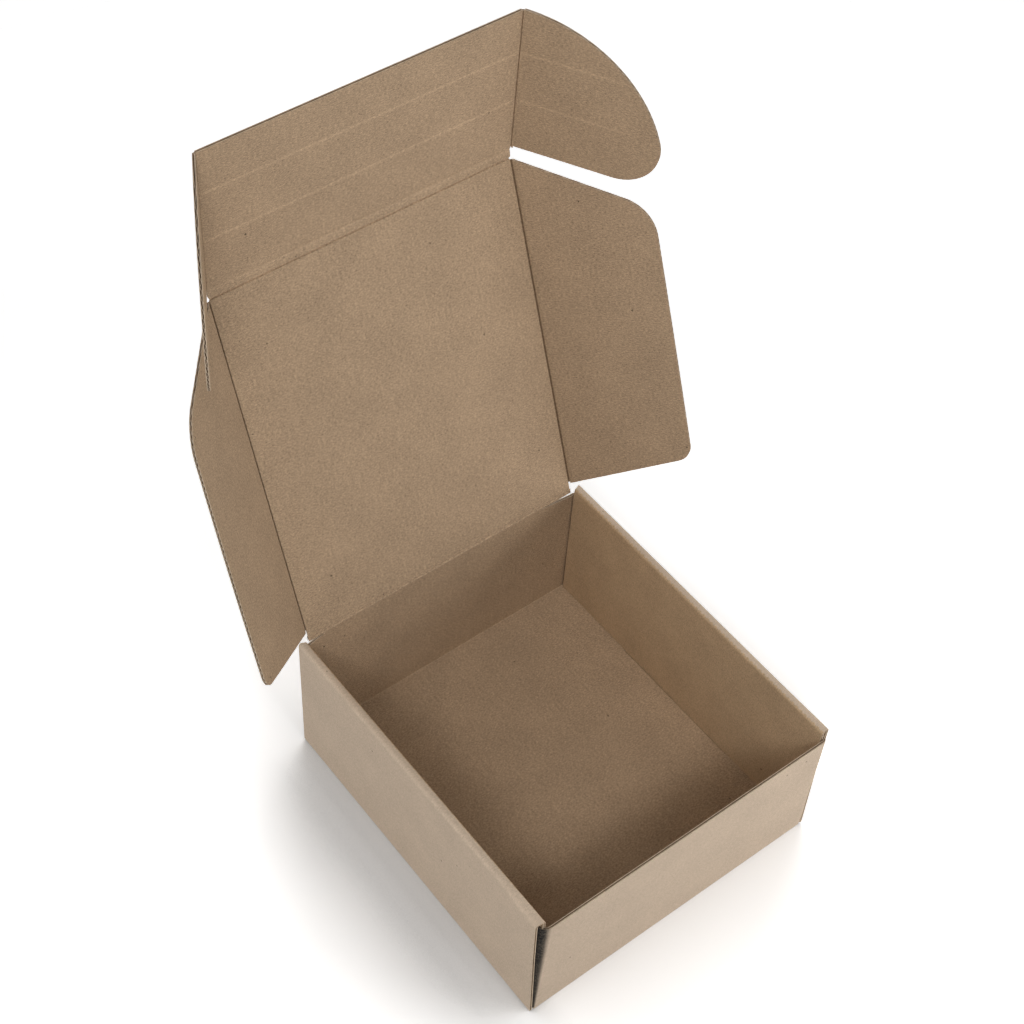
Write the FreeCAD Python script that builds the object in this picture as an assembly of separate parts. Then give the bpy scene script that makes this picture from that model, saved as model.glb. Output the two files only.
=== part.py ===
import FreeCAD, Part
import math
import os

# Corrugated mailer box, standing open: one die-cut blank of fluted board, folded.
# Lengths are in millimetres and angles in degrees.
# X runs across the box, the front wall faces -Y, and +Z is up.
# The origin is the middle of the underside of the base.
# The tray, the lid, its two side flaps, the tuck flap and its two ears are separate solids,
# because the box bends at the creases between them.

Vector = FreeCAD.Vector

# Board: a fluted layer between two liners. The flutes run across the box, along X.
board = 1.6
liner = 0.3
flute_pitch = 3.4
flute_web = 0.5
flute_stop = 4.0

# Tray
outer_width = 205.0
outer_depth = 222.0
front_height = 91.3
side_rise = 7.1
hinge_drop = 1.8
side_height = front_height + side_rise
hinge_height = side_height - hinge_drop
layer_gap = 0.1
base_bend = 1.2
corner_bend = 1.8
base_lap = 4.0
side_front_setback = 1.2
side_back_setback = 1.6
inner_panel_gap = 1.0
inner_panel_lift = 0.25
corner_tab_length = 58.0
corner_tab_foot = 3.0
corner_tab_slope = 9.0
lock_tab_length = 92.0
lock_slot_clearance = 0.4

# Creases: a flap turns about a round edge and stands off it by a small gap.
crease_gap = 0.2

# Lid, measured from its hinge at the top of the back wall. The angle is zero when it is shut.
lid_angle = 110.7
lid_side_inset = 7.1
lid_front_inset = 5.5
lid_half_width = outer_width / 2 - lid_side_inset
lid_length = outer_depth - lid_front_inset

# Side flaps of the lid: a flat outline with two round corners
side_flap_reach = 82.5
side_flap_root_back = 5.4
side_flap_tip_back = 30.6
side_flap_tip_inset = 30.0
side_flap_root_inset = 1.6
side_flap_tip_front = lid_length - side_flap_tip_inset
side_flap_root_front = lid_length - side_flap_root_inset
side_flap_back_radius = 11.0
side_flap_front_radius = 24.0
side_flap_bevel = 28.0
side_flap_angle_right = 60.0
side_flap_angle_left = 47.9

# Tuck flap: a narrow band between two creases, then the flap itself
tuck_angle = 22.5
band_width = 5.4
tuck_floor_gap = 2.1
tuck_side_inset = 6.3
tuck_length = front_height - tuck_floor_gap
tuck_half_width = outer_width / 2 - tuck_side_inset

# Ears of the tuck flap: a small corner arc that runs into a large arc, and a notch at the crease
ear_angle = 59.0
ear_crease_start = 1.35
ear_near_edge = 2.0
ear_corner_radius = 23.4
ear_arc_radius = 81.6
ear_arc_centre = 7.4
ear_relief_depth = 3.4
ear_relief_reach = 13.0

# Lengths that follow from the values above
half_board = board / 2
cut_margin = 1.0
crease_start = half_board + crease_gap
roll_width = 3 * board + 2 * layer_gap
hinge_y = outer_depth / 2 - half_board
tab_x = outer_width / 2 - board - layer_gap - half_board
inner_panel_x = outer_width / 2 - roll_width + half_board
band_rise = -band_width * math.sin(math.radians(tuck_angle / 2))
band_run = band_width * math.cos(math.radians(tuck_angle / 2))


def box(x0, x1, y0, y1, z0, z1):
    return Part.makeBox(x1 - x0, y1 - y0, z1 - z0, Vector(x0, y0, z0))


def mirrored(shape, side):
    # The shape as drawn for the right (side 1), or its mirror image for the left (side -1).
    return shape if side > 0 else shape.mirror(Vector(0, 0, 0), Vector(1, 0, 0))


def folded_section(points, bend, across, up, origin):
    # Cross-section of board that follows a line of points and bends round each corner.
    faces = {1: [], -1: []}
    last = len(points) - 1
    for i, corner in enumerate(points):
        before = (corner - points[i - 1]).normalize() if i > 0 else None
        after = (points[i + 1] - corner).normalize() if i < last else None
        if before is None or after is None:
            way = before or after
            for sign, chain in faces.items():
                chain.append([corner + Vector(-way.y, way.x, 0) * half_board * sign])
            continue
        turn = math.atan2(before.cross(after).z, before.dot(after))
        side = 1 if turn > 0 else -1
        tangent = bend * math.tan(abs(turn) / 2)
        start = corner - before * tangent
        end = corner + after * tangent
        centre = start + Vector(-before.y, before.x, 0) * bend * side
        middle = (corner - centre).normalize() * bend
        for sign, chain in faces.items():
            scale = (bend - sign * side * half_board) / bend
            chain.append([centre + spoke * scale for spoke in (start - centre, middle, end - centre)])
    stations = faces[1] + [spots[::-1] for spots in faces[-1][::-1]]
    stations = [[origin + across * p.x + up * p.y for p in spots] for spots in stations]
    edges = []
    for i, spots in enumerate(stations):
        if len(spots) == 3:
            edges.append(Part.Arc(*spots).toShape())
        following = stations[(i + 1) % len(stations)]
        edges.append(Part.LineSegment(spots[-1], following[0]).toShape())
    return Part.Face(Part.Wire(edges))


def rounded_plate(points, radii, z0, z1):
    # Flat plate with straight edges and round corners; a radius of zero keeps a corner sharp.
    count = len(points)
    spots = []
    for i, corner in enumerate(points):
        before = (points[i - 1] - corner).normalize()
        after = (points[(i + 1) % count] - corner).normalize()
        half_angle = before.getAngle(after) / 2
        tangent = radii[i] / math.tan(half_angle)
        middle = (before + after).normalize()
        depth = radii[i] / math.sin(half_angle) - radii[i]
        spots.append((corner + before * tangent, corner + middle * depth, corner + after * tangent))
    edges = []
    for i in range(count):
        if radii[i] > 0:
            edges.append(Part.Arc(*spots[i]).toShape())
        edges.append(Part.LineSegment(spots[i][2], spots[(i + 1) % count][0]).toShape())
    plate = Part.Face(Part.Wire(edges)).extrude(Vector(0, 0, z1 - z0))
    plate.translate(Vector(0, 0, z0))
    return plate


def side_wall():
    # Right side wall: outer panel, top strip and inner panel, one strip that rolls over and down.
    outer_x = outer_width / 2 - half_board
    top = side_height - half_board
    path = [
        Vector(outer_width / 2 - 2 * base_lap, half_board),
        Vector(outer_x, half_board),
        Vector(outer_x, top),
        Vector(inner_panel_x, top),
        Vector(inner_panel_x, board + inner_panel_lift),
    ]
    y0 = -outer_depth / 2 + side_front_setback
    y1 = outer_depth / 2 - side_back_setback
    section = folded_section(path, base_bend, Vector(1, 0, 0), Vector(0, 0, 1), Vector(0, y0, 0))
    wall = section.extrude(Vector(0, y1 - y0, 0))
    end_y = outer_depth / 2 - board - inner_panel_gap
    for low, high in ((y0 - cut_margin, -end_y), (end_y, y1 + cut_margin)):
        wall = wall.cut(box(inner_panel_x - board, inner_panel_x + board, low, high,
                            board, side_height - 2 * board))
    return wall


def end_wall(side, height):
    # Front (side -1) or back (side 1) wall, bent up from the base between the corner bends.
    middle_y = side * (outer_depth / 2 - half_board)
    path = [
        Vector(side * (outer_depth / 2 - 2 * base_lap), half_board),
        Vector(middle_y, half_board),
        Vector(middle_y, height),
    ]
    half_width = tab_x - corner_bend
    section = folded_section(path, base_bend, Vector(0, 1, 0), Vector(0, 0, 1), Vector(-half_width, 0, 0))
    return section.extrude(Vector(2 * half_width, 0, 0))


def corner_tab(end, height):
    # Right-hand tab of an end wall: it turns the corner and lies between the side wall's layers.
    y = outer_depth / 2 - half_board
    tip = y - corner_tab_length
    path = [
        Vector(tab_x - corner_bend - board, end * y),
        Vector(tab_x, end * y),
        Vector(tab_x, end * tip),
    ]
    section = folded_section(path, corner_bend, Vector(1, 0, 0), Vector(0, 1, 0), Vector(0, 0, corner_tab_foot))
    tab = section.extrude(Vector(0, 0, height - corner_tab_foot))
    slope = Part.makePolygon([
        Vector(tab_x - board, end * (y - 2 * corner_bend), height),
        Vector(tab_x - board, end * (tip - cut_margin), height),
        Vector(tab_x - board, end * (tip - cut_margin), height - corner_tab_slope),
        Vector(tab_x - board, end * (y - 2 * corner_bend), height),
    ])
    return tab.cut(Part.Face(slope).extrude(Vector(2 * board, 0, 0)))


def lock_tab(clearance, low, high):
    # Tongue of the right inner panel that stands in a slot in the base, or the slot itself.
    half_length = lock_tab_length / 2 + clearance
    return box(inner_panel_x - half_board - clearance, inner_panel_x + half_board + clearance,
               -half_length, half_length, low, high)


def tray():
    x = outer_width / 2 - base_lap
    y = outer_depth / 2 - base_lap
    pieces = [end_wall(-1, front_height), end_wall(1, hinge_height)]
    pieces += [mirrored(side_wall(), side) for side in (-1, 1)]
    body = box(-x, x, -y, y, 0, board).fuse(pieces)
    slots = [mirrored(lock_tab(lock_slot_clearance, -cut_margin, board), side) for side in (-1, 1)]
    body = body.cut(slots)
    pieces = [mirrored(lock_tab(0, liner, board + inner_panel_lift), side) for side in (-1, 1)]
    for side in (-1, 1):
        pieces.append(mirrored(corner_tab(-1, front_height), side))
        pieces.append(mirrored(corner_tab(1, front_height), side))
    pieces.append(Part.makeCylinder(half_board, 2 * lid_half_width,
                                    Vector(-lid_half_width, hinge_y, hinge_height), Vector(1, 0, 0)))
    body = body.fuse(pieces)
    corner = box(lid_half_width, tab_x, hinge_y - board, hinge_y + board, front_height, side_height)
    groove_x = inner_panel_x - board
    flute = half_board - liner
    groove = box(-groove_x, groove_x, -hinge_y - flute, -hinge_y + flute,
                 front_height - board, front_height + cut_margin)
    body = body.cut([mirrored(corner, -1), corner, groove])
    return body.removeSplitter()


def open_flutes(plate, length, reach, middle_z):
    # Opens the rows of the fluted layer where they come out at a flap's cut edge.
    half = flute_pitch / 2 - flute_web / 2
    foot = half_board - liner
    head = foot - flute_web / 2
    rows = []
    for k in range(int(length / flute_pitch)):
        for share, way in ((0.25, 1), (0.75, -1)):
            y = (k + share) * flute_pitch
            corners = [
                Vector(flute_stop, y - half, middle_z - way * foot),
                Vector(flute_stop, y + half, middle_z - way * foot),
                Vector(flute_stop, y, middle_z + way * head),
                Vector(flute_stop, y - half, middle_z - way * foot),
            ]
            rows.append(Part.Face(Part.makePolygon(corners)).extrude(Vector(reach, 0, 0)))
    return plate.cut(Part.makeCompound(rows))


def lid_panel():
    plate = box(-lid_half_width, lid_half_width, crease_start, lid_length, -half_board, half_board)
    edge = Part.makeCylinder(half_board, 2 * lid_half_width,
                             Vector(-lid_half_width, lid_length, 0), Vector(1, 0, 0))
    return plate.fuse(edge).removeSplitter()


def side_flap():
    # Right side flap laid flat, with its crease on the line x = 0, z = 0 of its inner face.
    # Its crease edge is bevelled, so that it can also bend a little outward.
    outline = [
        Vector(crease_gap, side_flap_root_back, 0),
        Vector(side_flap_reach, side_flap_tip_back, 0),
        Vector(side_flap_reach, side_flap_tip_front, 0),
        Vector(crease_gap, side_flap_root_front, 0),
    ]
    radii = [0, side_flap_back_radius, side_flap_front_radius, 0]
    plate = rounded_plate(outline, radii, -board, 0)
    plate = open_flutes(plate, side_flap_root_front, side_flap_reach, -half_board)
    slant = board * math.tan(math.radians(side_flap_bevel))
    bevel = Part.makePolygon([
        Vector(crease_gap, 0, 0),
        Vector(crease_gap + slant, 0, -board),
        Vector(crease_gap - cut_margin, 0, -board),
        Vector(crease_gap, 0, 0),
    ])
    return plate.cut(Part.Face(bevel).extrude(Vector(0, lid_length, 0)))


def tuck_flap():
    # Laid from the lid's front crease: the band, then the flap, with a round edge at each ear.
    half_turn = math.radians(tuck_angle / 2)
    path = [
        Vector(crease_start * math.cos(half_turn), -crease_start * math.sin(half_turn)),
        Vector(band_run, band_rise),
        Vector(band_run + tuck_length, band_rise),
    ]
    section = folded_section(path, base_bend, Vector(0, 1, 0), Vector(0, 0, 1), Vector(-tuck_half_width, 0, 0))
    flap = section.extrude(Vector(2 * tuck_half_width, 0, 0))
    flute = half_board - liner
    far_edge = band_run + tuck_length
    flap = flap.cut(box(-tuck_half_width + board, tuck_half_width - board, far_edge - board,
                        far_edge + cut_margin, band_rise - flute, band_rise + flute))
    for side in (-1, 1):
        spot = Vector(side * tuck_half_width, band_run + half_board, band_rise)
        flap = flap.fuse(Part.makeCylinder(half_board, tuck_length - board, spot, Vector(0, 1, 0)))
    return flap.removeSplitter()


def ear():
    # Right ear laid flat, with its crease on the line x = 0 in the middle of the board.
    centre_y = ear_near_edge + ear_corner_radius
    away = centre_y - ear_arc_centre
    corner_x = math.sqrt((ear_arc_radius - ear_corner_radius) ** 2 - away ** 2)
    lean = math.atan2(corner_x, away)
    end_lean = math.asin(ear_crease_start / ear_arc_radius)

    def on_arc(angle):
        return Vector(math.sin(angle), math.cos(angle), 0) * ear_arc_radius + Vector(0, ear_arc_centre, 0)

    def on_corner(angle):
        return Vector(math.sin(angle), math.cos(angle), 0) * ear_corner_radius + Vector(corner_x, centre_y, 0)

    relief_y = ear_near_edge + ear_relief_depth
    spots = [
        on_arc(end_lean),
        Vector(ear_crease_start, relief_y, 0),
        Vector(ear_relief_reach, relief_y, 0),
        Vector(ear_relief_reach + ear_relief_depth, ear_near_edge, 0),
        on_corner(math.pi),
    ]
    edges = [Part.LineSegment(a, b).toShape() for a, b in zip(spots, spots[1:])]
    edges.append(Part.Arc(on_corner(math.pi), on_corner((math.pi + lean) / 2), on_corner(lean)).toShape())
    edges.append(Part.Arc(on_arc(lean), on_arc((lean + end_lean) / 2), on_arc(end_lean)).toShape())
    plate = Part.Face(Part.Wire(edges)).extrude(Vector(0, 0, board))
    plate.translate(Vector(0, 0, -half_board))
    return open_flutes(plate, tuck_length, ear_arc_radius, 0)


def moved(shape, place):
    shape = shape.copy()
    shape.Placement = place.multiply(shape.Placement)
    return shape


def folded_in(flap, side, crease, angle):
    # A flat flap, mirrored for the left, set on its crease and folded inward.
    turn = FreeCAD.Rotation(Vector(0, 1, 0), -side * angle)
    return moved(mirrored(flap, side), FreeCAD.Placement(crease, turn))


def box_parts():
    lid_turn = FreeCAD.Rotation(Vector(1, 0, 0), 180 - lid_angle)
    lid_place = FreeCAD.Placement(Vector(0, hinge_y, hinge_height), lid_turn)
    tuck_turn = FreeCAD.Rotation(Vector(1, 0, 0), tuck_angle)
    tuck_place = lid_place.multiply(FreeCAD.Placement(Vector(0, lid_length, 0), tuck_turn))
    made = {
        "tray": tray(),
        "lid_panel": moved(lid_panel(), lid_place),
        "tuck_flap": moved(tuck_flap(), tuck_place),
    }
    flat_flap = side_flap()
    flat_ear = ear()
    for name, side, angle in (("left", -1, side_flap_angle_left), ("right", 1, side_flap_angle_right)):
        crease = Vector(side * lid_half_width, 0, half_board)
        made["side_flap_" + name] = moved(folded_in(flat_flap, side, crease, angle), lid_place)
        crease = Vector(side * tuck_half_width, band_run, band_rise)
        made["ear_" + name] = moved(folded_in(flat_ear, side, crease, ear_angle), tuck_place)
    return made


os.makedirs("parts", exist_ok=True)
for name, shape in box_parts().items():
    shape.exportStep("parts/" + name + ".step")
    print(name, len(shape.Solids), "solid", round(shape.Volume / 1000, 2), "cm3, valid", shape.isValid())
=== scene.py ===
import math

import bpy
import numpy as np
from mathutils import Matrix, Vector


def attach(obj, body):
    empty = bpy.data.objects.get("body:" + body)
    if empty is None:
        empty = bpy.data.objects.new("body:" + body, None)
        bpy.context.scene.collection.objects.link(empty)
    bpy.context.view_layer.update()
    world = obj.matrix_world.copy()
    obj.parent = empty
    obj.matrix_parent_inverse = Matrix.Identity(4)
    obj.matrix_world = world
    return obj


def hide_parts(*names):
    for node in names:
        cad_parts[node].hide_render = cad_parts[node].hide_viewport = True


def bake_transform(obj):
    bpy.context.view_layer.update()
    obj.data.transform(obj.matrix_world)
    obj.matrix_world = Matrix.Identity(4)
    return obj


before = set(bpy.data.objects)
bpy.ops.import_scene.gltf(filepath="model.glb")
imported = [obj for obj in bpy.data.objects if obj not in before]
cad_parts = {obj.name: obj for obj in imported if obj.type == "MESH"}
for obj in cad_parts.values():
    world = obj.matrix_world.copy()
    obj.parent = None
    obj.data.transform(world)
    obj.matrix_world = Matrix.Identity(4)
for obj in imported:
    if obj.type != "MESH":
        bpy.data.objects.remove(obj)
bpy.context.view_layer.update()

# %% [markdown]
# # A corrugated mailer box, standing open
#
# The box is one die-cut sheet of fluted board. It was scored, folded and locked without glue:
# a tray with rolled side walls, a lid on the back wall, two side flaps on the lid, and a tuck flap
# with two ears. The frame that was just loaded is the CAD model of it, in metres, with X across
# the box, the front wall facing -Y and Z up. Here it gets its paper, its cut edges and its light.
#
# What makes board look like board is its build, so that is what is modelled: two flat papers,
# the liners, with a waved paper between them. Every panel below is made from those three layers,
# so a cut edge shows its flutes from any side and in any light.

MM = 0.001

# %% [markdown]
# ## The board and the folded box
#
# Most of these measures are the CAD model's own. The board is 1.6 mm thick, with a wave every
# 3.4 mm. The lid stands 110.7 degrees from shut, and every flap hangs on the lid, so each panel
# gets a place: a small frame of its own. In the lid's and the tuck flap's, x runs across the box,
# y along the panel away from its crease, and z towards the inside of the box. A side flap or an
# ear has its crease along y, and reaches out along x.

# %% Measures of the board
BOARD = 1.6 * MM
HALF = BOARD / 2
LINER = 0.3 * MM
WAVE_PAPER = 0.22 * MM
PITCH = 3.4 * MM
ROWS_PER_WAVE = 6
TRAY_ROWS_PER_WAVE = 4
CREASE_DIP = 0.42 * MM
CREASE_REACH = 2.2 * MM
CREASE_EDGE = 0.85 * MM

# %% Measures of the folded box
OUTER_WIDTH = 205.0 * MM
OUTER_DEPTH = 222.0 * MM
FRONT_HEIGHT = 91.3 * MM
SIDE_HEIGHT = 98.4 * MM
HINGE = Vector((0, 110.2 * MM, 96.6 * MM))
LID_ANGLE = math.radians(110.7)
LID_HALF_WIDTH = 95.4 * MM
LID_LENGTH = 216.5 * MM
TUCK_ANGLE = math.radians(22.5)
TUCK_HALF_WIDTH = 96.2 * MM
TUCK_LENGTH = 89.2 * MM
BAND = 5.4 * MM
BAND_RUN = BAND * math.cos(TUCK_ANGLE / 2)
BAND_RISE = -BAND * math.sin(TUCK_ANGLE / 2)
EAR_ANGLE = math.radians(59.0)
FLAP_ANGLE = {"right": math.radians(60.0), "left": math.radians(47.9)}
SIDE = {"right": 1, "left": -1}
print("box:", [round(v / MM, 1) for v in (OUTER_WIDTH, OUTER_DEPTH, SIDE_HEIGHT)], "mm")


# %% Where each panel of the lid is
def turned(angle, axis):
    return Matrix.Rotation(angle, 4, axis)


lid_place = Matrix.Translation(HINGE) @ turned(math.pi - LID_ANGLE, "X")
tuck_place = lid_place @ Matrix.Translation((0, LID_LENGTH, 0)) @ turned(TUCK_ANGLE, "X")


def flap_place(side):
    crease = Matrix.Translation((SIDE[side] * LID_HALF_WIDTH, 0, HALF))
    return lid_place @ crease @ turned(-SIDE[side] * FLAP_ANGLE[side], "Y")


def ear_place(side):
    crease = Matrix.Translation((SIDE[side] * TUCK_HALF_WIDTH, BAND_RUN, BAND_RISE))
    return tuck_place @ crease @ turned(-SIDE[side] * EAR_ANGLE, "Y")


print("lid's far edge is at", [round(v / MM, 1) for v in lid_place @ Vector((0, LID_LENGTH, 0))])

# %% [markdown]
# ## The look of kraft paper
#
# Kraft paper is never one colour. It has clouds of lighter and darker pulp, a fine grain of
# fibres that lie along the machine's way, and a few dark specks of bark. Those are made once, as
# a group of shader nodes, and each finish places the group with its own values. The group reads
# lengths in metres, from a map of the flat sheet that every panel below carries.


# %% Small helpers for node trees
def link_all(tree, pairs):
    for start, end in pairs:
        tree.links.new(start, end)


def math_node(tree, operation, first, second=None, third=None):
    node = tree.nodes.new("ShaderNodeMath")
    node.operation = operation
    for socket, value in zip(node.inputs, (first, second, third)):
        if isinstance(value, (int, float)):
            socket.default_value = value
        elif value is not None:
            tree.links.new(value, socket)
    return node.outputs[0]


def noise_node(tree, vector, scale, detail, roughness):
    node = tree.nodes.new("ShaderNodeTexNoise")
    node.inputs["Scale"].default_value = scale
    node.inputs["Detail"].default_value = detail
    node.inputs["Roughness"].default_value = roughness
    tree.links.new(vector, node.inputs["Vector"])
    return node.outputs["Fac"]


# %% The paper group: clouds, grain, hairs and specks
CLOUD_SCALE, BLOTCH_SCALE = 38, 260
GRAIN_SCALE, HAIR_SCALE = 1300, 4200
FIBRE_STRETCH = (0.5, 1.0, 1.0)
HAIR_HEIGHT = 0.4
SPECK_SCALE, SPECK_RARITY, SPECK_SIZE = 140, 10, 0.1


def paper_group():
    group = bpy.data.node_groups.new("kraft_paper", "ShaderNodeTree")
    face = group.interface
    face.new_socket("Vector", in_out="INPUT", socket_type="NodeSocketVector")
    for name, value in (("Clouds", 0.1), ("Grain", 0.3), ("Specks", 0.45)):
        face.new_socket(name, in_out="INPUT", socket_type="NodeSocketFloat").default_value = value
    for name in ("Tone", "Height"):
        face.new_socket(name, in_out="OUTPUT", socket_type="NodeSocketFloat")
    source = group.nodes.new("NodeGroupInput")
    result = group.nodes.new("NodeGroupOutput")
    vector = source.outputs["Vector"]

    stretch = group.nodes.new("ShaderNodeMapping")
    stretch.inputs["Scale"].default_value = FIBRE_STRETCH
    group.links.new(vector, stretch.inputs["Vector"])
    clouds = noise_node(group, vector, CLOUD_SCALE, 3, 0.5)
    blotches = noise_node(group, vector, BLOTCH_SCALE, 3, 0.6)
    grain = noise_node(group, stretch.outputs["Vector"], GRAIN_SCALE, 3, 0.7)
    hairs = noise_node(group, stretch.outputs["Vector"], HAIR_SCALE, 2, 0.6)

    cells = group.nodes.new("ShaderNodeTexVoronoi")
    cells.inputs["Scale"].default_value = SPECK_SCALE
    group.links.new(vector, cells.inputs["Vector"])
    chance = group.nodes.new("ShaderNodeSeparateColor")
    group.links.new(cells.outputs["Color"], chance.inputs["Color"])
    rare = math_node(group, "POWER", chance.outputs["Red"], SPECK_RARITY)
    size = math_node(group, "MULTIPLY", rare, SPECK_SIZE)
    close = math_node(group, "LESS_THAN", cells.outputs["Distance"], size)
    speck = math_node(group, "MULTIPLY", close, source.outputs["Specks"])

    def around_zero(value, amount):
        return math_node(group, "MULTIPLY", math_node(group, "SUBTRACT", value, 0.5), amount)

    tone = math_node(group, "ADD", around_zero(clouds, source.outputs["Clouds"]), 1.0)
    tone = math_node(group, "ADD", around_zero(blotches, source.outputs["Clouds"]), tone)
    tone = math_node(group, "ADD", around_zero(grain, source.outputs["Grain"]), tone)
    tone = math_node(group, "ADD", around_zero(hairs, source.outputs["Grain"]), tone)
    tone = math_node(group, "SUBTRACT", tone, speck)
    height = math_node(group, "MULTIPLY_ADD", hairs, HAIR_HEIGHT, grain)
    link_all(group, [(tone, result.inputs["Tone"]), (height, result.inputs["Height"])])
    return group


paper = paper_group()
print("group", paper.name, "with", len(paper.nodes), "nodes")

# %% [markdown]
# ## Five finishes
#
# The two liners come from different rolls, and the outer one is a little paler and greyer. Where
# it ends up inside the box it reads browner in the box's warm shade, so that stretch has a browner
# copy of its finish, with that shade painted into its colour. The waved paper between them sits in
# its own shade, and its colour is darker too: painted shade. A cut edge shows the pulp inside the
# sheet, which is pale. Where a rule has scored the board, its fibres are broken: the panels carry
# that as an attribute of wear and painted shade, and the finish lightens the paper there in
# streaks. Below zero the same attribute darkens it evenly with painted shade, for the one corner
# that stands open.


# %% Make the finishes
PAPER_ROUGHNESS, PAPER_SHINE = 0.88, 0.25
STREAK_SCALE = 900
BUMP_STRENGTH, BUMP_DISTANCE = 0.4, 0.06 * MM


def paper_finish(name, colour, clouds=0.3, grain=1.9, specks=0.6, wear_and_shade=0.2):
    material = bpy.data.materials.new(name)
    material.use_nodes = True
    tree = material.node_tree
    shader = tree.nodes["Principled BSDF"]
    shader.inputs["Roughness"].default_value = PAPER_ROUGHNESS
    shader.inputs["Specular IOR Level"].default_value = PAPER_SHINE
    coords = tree.nodes.new("ShaderNodeTexCoord")
    effect = tree.nodes.new("ShaderNodeGroup")
    effect.node_tree = paper
    for socket, value in (("Clouds", clouds), ("Grain", grain), ("Specks", specks)):
        effect.inputs[socket].default_value = value
    tree.links.new(coords.outputs["UV"], effect.inputs["Vector"])
    wear_and_painted_shade = tree.nodes.new("ShaderNodeAttribute")
    wear_and_painted_shade.attribute_name = "wear_and_painted_shade"
    streaks = noise_node(tree, coords.outputs["UV"], STREAK_SCALE, 3, 0.7)
    lightened = math_node(tree, "MAXIMUM", wear_and_painted_shade.outputs["Fac"], 0)
    # Below zero the attribute is painted shade: it darkens the paper evenly, for the open corner.
    painted_shade = math_node(tree, "MINIMUM", wear_and_painted_shade.outputs["Fac"], 0)
    torn_and_painted_shade = math_node(tree, "MULTIPLY", lightened, streaks)
    torn_and_painted_shade = math_node(tree, "MULTIPLY_ADD", painted_shade, 0.5, torn_and_painted_shade)
    tone = math_node(tree, "MULTIPLY_ADD", torn_and_painted_shade, wear_and_shade * 2, effect.outputs["Tone"])
    shade = tree.nodes.new("ShaderNodeCombineColor")
    for channel in ("Red", "Green", "Blue"):
        tree.links.new(tone, shade.inputs[channel])
    tint = tree.nodes.new("ShaderNodeMix")
    tint.data_type = "RGBA"
    tint.blend_type = "MULTIPLY"
    tint.inputs["Factor"].default_value = 1
    socket = {s.name: s for s in tint.inputs if s.type == "RGBA"}
    socket["A"].default_value = colour
    bump = tree.nodes.new("ShaderNodeBump")
    bump.inputs["Strength"].default_value = BUMP_STRENGTH
    bump.inputs["Distance"].default_value = BUMP_DISTANCE
    result = [s for s in tint.outputs if s.type == "RGBA"][0]
    link_all(tree, [
        (shade.outputs["Color"], socket["B"]),
        (result, shader.inputs["Base Color"]),
        (effect.outputs["Height"], bump.inputs["Height"]),
        (bump.outputs["Normal"], shader.inputs["Normal"]),
    ])
    return material


FINISHES = {
    "kraft_inside": dict(colour=(0.400, 0.284, 0.182, 1)),
    "kraft_outside": dict(colour=(0.525, 0.415, 0.312, 1), clouds=0.2, grain=0.8, wear_and_shade=0.3),
    # The rolled face is the outer liner with the warm shade inside the box painted into its colour.
    "kraft_rolled_painted_shade": dict(colour=(0.505, 0.360, 0.222, 1), grain=1.3),
    # The waved paper's darker colour is painted shade, also used on the outer crease skins.
    "waved_paper_painted_shade": dict(colour=(0.250, 0.165, 0.098, 1)),
    "cut_edge": dict(colour=(0.560, 0.440, 0.320, 1), grain=0.6, specks=0),
}
finishes = {name: paper_finish(name, **values) for name, values in FINISHES.items()}
print("finishes:", ", ".join(finishes))

# %% [markdown]
# ## One layer of paper
#
# Each layer starts as a grid, which is what a flat sheet of paper is. Its points are then moved to
# where the layer runs: a flat liner, or a sine for the waved paper. A plain box would be quicker,
# but its edge could only be painted. Solidify gives the sheet its thickness, and hands the narrow
# faces round its rim to the finish for cut edges.
#
# A liner isn't quite flat. It sinks a few hundredths of a millimetre between the tips of the waves,
# which is the faint washboard that raking light shows on a real box.


# %% Small helpers for meshes
def deselect():
    if bpy.context.mode != "OBJECT":
        bpy.ops.object.mode_set(mode="OBJECT")
    bpy.ops.object.select_all(action="DESELECT")


def smooth_step(value):
    t = np.clip(value, 0, 1)
    return t * t * (3 - 2 * t)


def crushed(distance, reach=CREASE_REACH):
    """1 at a crease, falling to 0 where the board has its full height again."""
    return 1 - smooth_step(np.abs(distance) / reach)


def joined(parts):
    deselect()
    for part in parts:
        part.select_set(True)
    bpy.context.view_layer.objects.active = parts[0]
    bpy.ops.object.join()
    return bpy.context.object


# %% Make one layer of paper
SCORE_DEPTH = 0.09 * MM


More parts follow.
